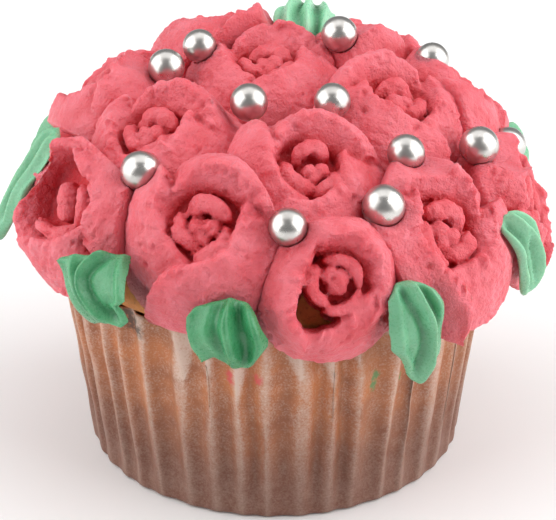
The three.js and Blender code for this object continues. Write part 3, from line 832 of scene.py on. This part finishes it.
def make_rose(name, index):
    """A rose, fused from its petals, then roughened, pressed among its neighbours and coloured."""
    at, faces_to, radius, spin = ROSES[name]
    pattern, turn, mirrored = PIPING.get(name, (PINWHEEL, spin - 30, False))
    points, faces, count = [], [], 0
    for part_points, part_faces in piped_rose(pattern, turn, mirrored, radius, 10.0 * index + 0.5):
        points.append(part_points)
        faces += [tuple(v + count for v in face) for face in part_faces]
        count += len(part_points)
    rose = new_object(f"rose_{name}_icing", np.concatenate(points), faces)
    bpy.context.view_layer.update()
    fuse(rose, FINE_VOXEL if name in PIPING else COARSE_VOXEL)
    soften(rose, 2)
    local = coordinates(rose)
    shift = index * 3.7
    swell = 0.16 * noise(local, 4.5, shift)
    swell += 0.07 * noise(local, 1.8, shift)
    swell += 0.05 * noise(local, 0.9, shift)
    swell += 0.17 * noise(local, 0.6, shift + 2) * (0.8 + 0.5 * noise(local, 3.0, shift + 4))
    torn_patch = smoothstep(0.1, 0.5, noise(local, 3.2, shift + 8))
    swell -= 0.6 * np.maximum(0, noise(local, 0.75, shift + 5) - 0.3) * torn_patch
    local = local + normals(rose) * swell[:, None]
    across, up_slope, axis = axes_of(faces_to)
    world = on_crown(*at) + local @ np.stack([across, up_slope, axis])
    pressed = keep_off_pearls(keep_apart(world, name))
    set_coordinates(rose, keep_off_body(keep_under_leaves(pressed)))
    # Painted shade: darker red down in the heart of the rose and in its folds
    out = np.hypot(local[:, 0], local[:, 1])
    depth = smoothstep(0.4, -2.0, local[:, 2]) * smoothstep(9.5, 6.5, out)
    heart = 0.36 * smoothstep(5.6, 4.2, out)
    paint(rose, "hollow", np.clip(0.22 * folds(rose, 24, 0.45) + 0.8 * depth + heart, 0, 1))
    finish_piece(rose, pink, f"rose_{name}")


for index, rose_name in enumerate(ROSES):
    make_rose(rose_name, index)


# Leaves
def plate_faces(rows, columns):
    """Faces of a plate whose top is a grid of points, followed by the same grid for its underside."""
    count = rows * columns
    faces = []
    for row in range(rows - 1):
        for column in range(columns - 1):
            a = row * columns + column
            faces.append((a, a + 1, a + 1 + columns, a + columns))
            faces.append((count + a, count + a + columns, count + a + 1 + columns, count + a + 1))
        left, right = row * columns, row * columns + columns - 1
        faces.append((left, left + columns, count + left + columns, count + left))
        faces.append((right, count + right, count + right + columns, right + columns))
    for column in range(columns - 1):
        end = (rows - 1) * columns + column
        faces.append((column, count + column, count + column + 1, column + 1))
        faces.append((end, end + 1, count + end + 1, count + end))
    return faces


def make_leaf(name, index):
    """A leaf: a bent plate with the star tube's ridges, and fluted edges."""
    shape = LEAF_SHAPES.get(name, LEAF_SHAPES["other"])
    rows, columns = 64, 48
    middle, normal = leaf_surface(name, rows, columns)
    s = np.linspace(-1, 1, columns)[None, :]
    t = np.linspace(0, 1, rows)[:, None]
    reach = half_widths(shape, t, s)
    relief = 0
    for root, tip, bow, width, height in shape["ridges"]:
        place = lerp(root, tip, t) + bow * np.sin(math.pi * t) + 0.04 * np.sin(7 * t + 3 * root + index)
        fade = smoothstep(-0.02, 0.1, t) * (1 - 0.6 * smoothstep(0.75, 1, t))
        beside = np.abs(s - place) * reach / width
        groove = 0.28 * np.exp(-(((beside - 2.2) / 0.9) ** 2))
        relief = relief + height * fade * (np.exp(-(beside**2.4)) - groove)
    relief = relief + 0.35 * np.sin(11 * t + 2 * s + index) * np.abs(s) ** 1.5
    edge = np.sqrt(np.clip(1 - np.abs(s) ** 5, 0, 1)) * np.sqrt(np.clip(1 - np.abs(2 * t - 1) ** 16, 0, 1))
    thick = LEAF_THICKNESS * (1 - 0.4 * np.abs(s) ** 1.5) * np.maximum(edge, 0.12)
    top = middle + normal * (relief + thick / 2)[..., None]
    under = middle + normal * (0.25 * relief - thick / 2)[..., None]
    points = np.concatenate([top.reshape(-1, 3), under.reshape(-1, 3)])
    leaf = new_object(f"leaf_{name}_icing", points, plate_faces(rows, columns))
    bpy.context.view_layer.update()
    fuse(leaf, LEAF_VOXEL)
    soften(leaf, 3)
    local = coordinates(leaf)
    swell = 0.12 * noise(local, 2.8, index)
    set_coordinates(leaf, keep_off_body(local + normals(leaf) * swell[:, None]))
    # Painted shade in the leaf's folds
    paint(leaf, "hollow", folds(leaf, 14, 0.3))
    paint(leaf, "fair", np.full(len(local), FAIR_LEAVES.get(name, OTHER_LEAVES_FAIR)))
    finish_piece(leaf, green, f"leaf_{name}")


for index, leaf_name in enumerate(LEAVES):
    make_leaf(leaf_name, index)


# Pearls
def make_pearl(index, azimuth, polar, off, diameter):
    """A slightly uneven ball."""
    rows, columns = 26, 44
    theta = np.linspace(0, math.pi, rows)[1:-1]
    phi = np.linspace(0, 2 * math.pi, columns, endpoint=False)
    t, p = np.meshgrid(theta, phi, indexing="ij")
    unit = np.stack([np.sin(t) * np.cos(p), np.sin(t) * np.sin(p), np.cos(t)], -1).reshape(-1, 3)
    unit = np.concatenate([unit, [[0, 0, 1], [0, 0, -1]]])
    size = diameter / 2 * (1 + 0.012 * noise(unit, 0.9, index * 2.3))
    points = on_crown(azimuth, polar, off) + unit * size[:, None]
    rings = rows - 2
    faces = []
    for r in range(rings - 1):
        for i in range(columns):
            j = (i + 1) % columns
            faces.append((r * columns + i, (r + 1) * columns + i, (r + 1) * columns + j, r * columns + j))
    for i in range(columns):
        j = (i + 1) % columns
        faces.append((rings * columns, i, j))
        faces.append((rings * columns + 1, (rings - 1) * columns + j, (rings - 1) * columns + i))
    name = f"pearl_{index + 1:02d}"
    pearl = new_object(f"{name}_coat", points, faces)
    finish_piece(pearl, silver, name)


for index, pearl in enumerate(PEARLS):
    make_pearl(index, *pearl)


# Sponge
def make_sponge():
    """The cake: tapered inside the case, with a lip over its rim and a lumpy dome."""
    sides = 160
    profile = [(0, 0.9), (23.4, 0.9), (24.2, 4), (27.3, CASE_HEIGHT + 0.2), (28.2, CASE_HEIGHT + 0.35),
               (29.2, CASE_HEIGHT + 0.5), (29.9, CASE_HEIGHT + 1.1)]
    for polar in np.linspace(84, 3, 22):
        profile.append((DOME_RADIUS * math.sin(math.radians(polar)),
                        lerp(DOME_BASE, DOME_TOP, math.cos(math.radians(polar)))))
    profile.append((0, DOME_TOP))
    points, faces = lathed(profile, sides)
    lump = 0.25 * noise(points, 5) + 0.12 * noise(points, 1.6)
    rise = smoothstep(CASE_HEIGHT + 0.4, CASE_HEIGHT + 1.5, points[:, 2])
    away = points - np.array([0, 0, 25.0])
    away /= np.linalg.norm(away, axis=1)[:, None]
    points = points + away * (np.minimum(lump, 0.1) * rise)[:, None]
    sponge = new_object("sponge_crust", points, faces)
    finish_piece(sponge, crust, "sponge")


make_sponge()


# Paper case
def frosting(rng, points, phases, pleats):
    """How dry and pale the paper is: in patches that hang from the rim, along the crests and at the foot."""
    length = rng.uniform(0, 1, PLEATS) ** 1.6 * 11
    width = rng.uniform(0.25, 0.75, PLEATS)
    left_side = rng.random(PLEATS) < 0.5
    beside = np.where(left_side[pleats], phases, 1 - phases)
    fall = CASE_HEIGHT - points[:, 2]
    reach = np.clip(1 - fall / np.maximum(length[pleats], 0.01), 0, 1) ** 0.6 * width[pleats]
    patch = smoothstep(0.1, -0.06, beside - reach) * (reach > 0)
    thin = rng.uniform(0.06, 0.2, PLEATS)
    strong = rng.uniform(0.35, 0.62, PLEATS)
    from_crest = np.minimum(phases, 1 - phases)
    crest = strong[pleats] * np.exp(-((from_crest / thin[pleats]) ** 2))
    foot = 0.2 * smoothstep(14.0, 0.5, points[:, 2])
    return np.clip(crest + 0.02 + 0.75 * patch + foot, -0.1, 1)


def mark_strength(points, places):
    """How strongly a mark shows at each point of the wall."""
    strength = np.zeros(len(points))
    for azimuth, up, wide, tall in places:
        turned = np.arctan2(points[:, 0], -points[:, 1]) - math.radians(azimuth)
        beside = turned * case_radius(up)
        strength += np.exp(-((beside / wide) ** 2) - ((points[:, 2] - up) / tall) ** 2)
    return np.clip(strength, 0, 1)


def make_case():
    """The pleated paper case: a thin wall on a flat base."""
    rng = np.random.default_rng(SEED + 7)
    per_pleat, rows = 12, 40
    columns = PLEATS * per_pleat
    pitch = 360 / PLEATS
    shift = rng.uniform(-0.14, 0.14, PLEATS)
    depth_scale = rng.uniform(0.7, 1.15, PLEATS)
    skew = rng.uniform(-0.1, 0.1, PLEATS)
    index = np.arange(columns)
    pleat = index // per_pleat
    phase = (index % per_pleat) / per_pleat
    edge = np.append(np.arange(PLEATS) + shift, PLEATS + shift[0])
    azimuth = (edge[pleat] + (edge[pleat + 1] - edge[pleat]) * phase) * pitch + FIRST_CREST
    # Each pleat is a rounded crest that leans a little, with a wider valley down to the next one
    leaned = phase + skew[pleat] * np.sin(2 * math.pi * phase)
    relief = (0.5 + 0.5 * np.cos(2 * math.pi * leaned)) ** 1.3
    levels_up = np.concatenate([[0, 0.12, 0.35, 0.8], np.linspace(1.6, CASE_HEIGHT, rows)])
    outer, inner = [], []
    for up in levels_up:
        share = up / CASE_HEIGHT
        depth = (0.25 + 0.75 * min(1, share / 0.25)) * lerp(1.0, 1.25, share) * depth_scale[pleat]
        foot = 0.55 * (1 - min(1, up / 0.5)) ** 2
        lean = 0.22 * noise(np.stack([index * 0 + share * 3, pleat * 3.3, index * 0.0], -1), 1.0)
        az = azimuth + lean * pitch * share
        crumple = 0.14 * noise(around(azimuth, 1, up / 12), 0.35) * share
        crumple = crumple + 0.1 * noise(around(azimuth, 5, up / 3), 1.3)
        radius = case_radius(up) - foot - depth * (1 - relief) + crumple - 0.1
        outer.append(around(az, radius, up))
        inner.append(around(az, radius - 0.3, max(up, 0.3)))
    outer, inner = np.array(outer), np.array(inner)
    wavy = np.abs(0.14 * noise(around(azimuth, 5, 0), 1.2)) + 0.05
    outer[-1, :, 2] -= wavy
    inner[-1, :, 2] -= wavy
    levels = len(levels_up)
    points = np.concatenate([outer.reshape(-1, 3), inner.reshape(-1, 3), [[0, 0, 0.05], [0, 0, 0.35]]])
    count = levels * columns
    faces = []
    for r in range(levels - 1):
        for i in range(columns):
            j = (i + 1) % columns
            a, b = r * columns + i, r * columns + j
            faces.append((a, b, b + columns, a + columns))
            faces.append((count + a, count + a + columns, count + b + columns, count + b))
    last = (levels - 1) * columns
    for i in range(columns):
        j = (i + 1) % columns
        faces.append((last + i, last + j, count + last + j, count + last + i))
        faces.append((2 * count, j, i))
        faces.append((2 * count + 1, count + i, count + j))
    case = new_object("paper_case_pleated", points, faces)
    phases = np.append(np.tile(phase, 2 * levels), [0.5, 0.5])
    pleats = np.append(np.tile(pleat, 2 * levels), [0, 0])
    paint(case, "frost", frosting(rng, points, phases, pleats))
    # Painted shade: how much darker the paper is towards the foot
    paint(case, "low", smoothstep(24.0, 3.0, points[:, 2]))
    for mark, (_, places) in CASE_MARKS.items():
        paint(case, mark, mark_strength(points, places))
    finish_piece(case, paper, "paper_case")


make_case()


# Floor, light and camera
def make_floor():
    floor_shader = Shader("pale_floor")
    cloud = floor_shader.noise(60, 2)
    colour = floor_shader.mix(cloud, (0.9, 0.9, 0.9, 1), (0.93, 0.93, 0.93, 1))
    floor_shader.set(Base_Color=colour, Roughness=0.6)
    half = 1500
    corners = [(-half, -half, 0), (half, -half, 0), (half, half, 0), (-half, half, 0)]
    floor = new_object("floor", corners, [(0, 1, 2, 3)])
    floor.data.materials.append(floor_shader.material)


make_floor()

world = bpy.data.worlds.new("studio")
world.use_nodes = True
bpy.context.scene.world = world
background = world.node_tree.nodes["Background"]
background.inputs["Color"].default_value = (1, 1, 1, 1)
background.inputs["Strength"].default_value = 0.26


def add_softbox(name, place, size, watts):
    """A rectangular light, in metres, that looks at the cupcake."""
    light = bpy.data.lights.new(name, "AREA")
    light.shape = "RECTANGLE"
    light.size, light.size_y = size
    light.energy = watts
    lamp = bpy.data.objects.new(name, light)
    bpy.context.scene.collection.objects.link(lamp)
    lamp.location = place
    aim = Vector((0, 0, 0.03)) - lamp.location
    lamp.rotation_euler = aim.to_track_quat("-Z", "Y").to_euler()


add_softbox("softbox_left", (-0.5, -0.05, 0.3), (0.8, 0.7), 3.9)
add_softbox("softbox_right", (0.49, -0.06, 0.32), (0.8, 0.7), 4.7)
add_softbox("softbox_top", (0.0, 0.15, 0.7), (0.8, 0.6), 1.8)

TARGET = Vector((0.0004, 0, 0.02515))
ELEVATION = math.radians(28.87)
DISTANCE = 0.4
FOCAL_PIXELS = 2937.46
IMAGE_WIDTH = 556
SENSOR = 36.0

camera = bpy.data.cameras.new("camera")
camera.sensor_width = SENSOR
camera.lens = FOCAL_PIXELS / IMAGE_WIDTH * SENSOR
camera.clip_start, camera.clip_end = 0.01, 10
eye = bpy.data.objects.new("camera", camera)
bpy.context.scene.collection.objects.link(eye)
eye.location = TARGET + DISTANCE * Vector((0, -math.cos(ELEVATION), math.sin(ELEVATION)))
eye.rotation_euler = (TARGET - eye.location).to_track_quat("-Z", "Y").to_euler()
bpy.context.scene.camera = eye

bpy.context.scene.view_settings.view_transform = "Standard"
